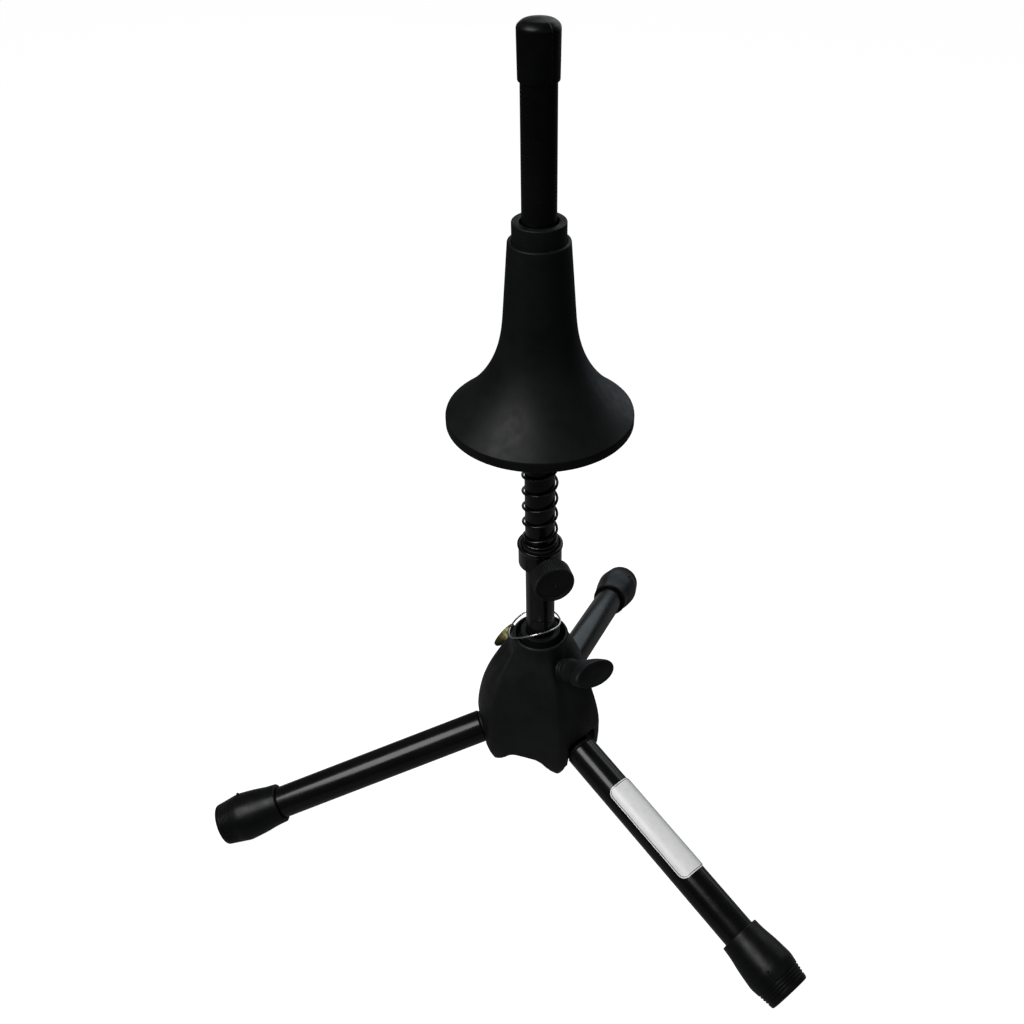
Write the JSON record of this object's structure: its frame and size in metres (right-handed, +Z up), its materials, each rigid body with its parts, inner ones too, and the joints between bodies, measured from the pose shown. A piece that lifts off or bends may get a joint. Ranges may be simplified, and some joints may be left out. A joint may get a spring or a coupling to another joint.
{
  "type": "trumpet stand",
  "caption": "Folding tripod floor stand for a trumpet: tubular legs in a domed hub, steel post, sprung flared bell support and clamp collar.",
  "frame": {"origin": "bottom centre of the bounding box, on the floor that the three feet stand on", "axes": "+Z up along the post; the back leg points to +Y, the left and right legs to -X and +X and towards -Y"},
  "size_m": [0.3572, 0.312, 0.4664],
  "materials": {
    "painted_steel": "black semi-gloss paint on steel tube",
    "hub_plastic": "black moulded plastic with a fine satin grain",
    "bell_plastic": "black soft-touch moulded plastic, satin",
    "rubber": "black rubber, slightly shiny",
    "bright_steel": "zinc plated steel",
    "dull_brass": "dull yellow plated metal",
    "spring_wire": "black coated spring wire",
    "label_film": "blank white and silver sticker film"
  },
  "bodies": {
    "hub": {"hub_housing": "hub_plastic", "socket_sleeve": "hub_plastic", "clamp_nut_front": "dull_brass", "clamp_nut_rear": "dull_brass", "pivot_pin_left": "bright_steel", "pivot_pin_right": "bright_steel", "pivot_pin_back": "bright_steel", "tag_loop": "bright_steel"},
    "leg_left": {"leg_tube_left": "painted_steel", "end_plug_left": "hub_plastic", "foot_left": "rubber"},
    "leg_right": {"leg_tube_right": "painted_steel", "end_plug_right": "hub_plastic", "foot_right": "rubber", "label": "label_film"},
    "leg_back": {"leg_tube_back": "painted_steel", "end_plug_back": "hub_plastic", "foot_back": "rubber"},
    "front_wing": {"front_wing_knob": "hub_plastic", "front_wing_stud": "bright_steel"},
    "rear_wing": {"rear_wing_knob": "dull_brass", "rear_wing_stud": "bright_steel"},
    "post": {"post_tube": "painted_steel", "post_cap": "rubber"},
    "collar": {"height_collar": "painted_steel", "spring_seat": "hub_plastic", "spring": "spring_wire"},
    "thumbscrew": {"thumbscrew_knob": "hub_plastic", "thumbscrew_stud": "bright_steel"},
    "bell": {"bell_support": "bell_plastic", "guide_sleeve": "bell_plastic"}
  },
  "joints": [
    {"name": "leg_left_fold", "type": "hinge", "parent": "hub", "child": "leg_left", "pos_m": [-0.02078, -0.05807, 0.068], "axis": [0.5, -0.866, 0], "range_deg": [0, 71.9]},
    {"name": "leg_right_fold", "type": "hinge", "parent": "hub", "child": "leg_right", "pos_m": [0.02078, -0.05807, 0.068], "axis": [0.5, 0.866, 0], "range_deg": [0, 71.9]},
    {"name": "leg_back_fold", "type": "hinge", "parent": "hub", "child": "leg_back", "pos_m": [0, -0.02207, 0.068], "axis": [-1, 0, 0], "range_deg": [0, 71.9]},
    {"name": "post_slide", "type": "slide", "parent": "hub", "child": "post", "axis": [0, 0, 1], "range_m": [0, 0.04]},
    {"name": "collar_slide", "type": "slide", "parent": "post", "child": "collar", "axis": [0, 0, 1], "range_m": [-0.03, 0.05]},
    {"name": "bell_press", "type": "slide", "parent": "collar", "child": "bell", "axis": [0, 0, 1], "range_m": [-0.05, 0], "stiffness_N_per_m": 350, "springref_m": 0.003, "deforming": ["spring"]},
    {"name": "thumbscrew_turn", "type": "hinge", "parent": "collar", "child": "thumbscrew", "pos_m": [0.01153, -0.06241, 0.1905], "axis": [0.5764, -0.8171, 0], "range_deg": [0, 540]},
    {"name": "front_wing_turn", "type": "hinge", "parent": "hub", "child": "front_wing", "pos_m": [0, -0.04607, 0.1058], "axis": [0.7344, -0.424, 0.5299], "range_deg": [0, 540]},
    {"name": "rear_wing_turn", "type": "hinge", "parent": "hub", "child": "rear_wing", "pos_m": [0, -0.04607, 0.0998], "axis": [-0.8325, 0.4806, 0.2756], "range_deg": [0, 540]}
  ]
}
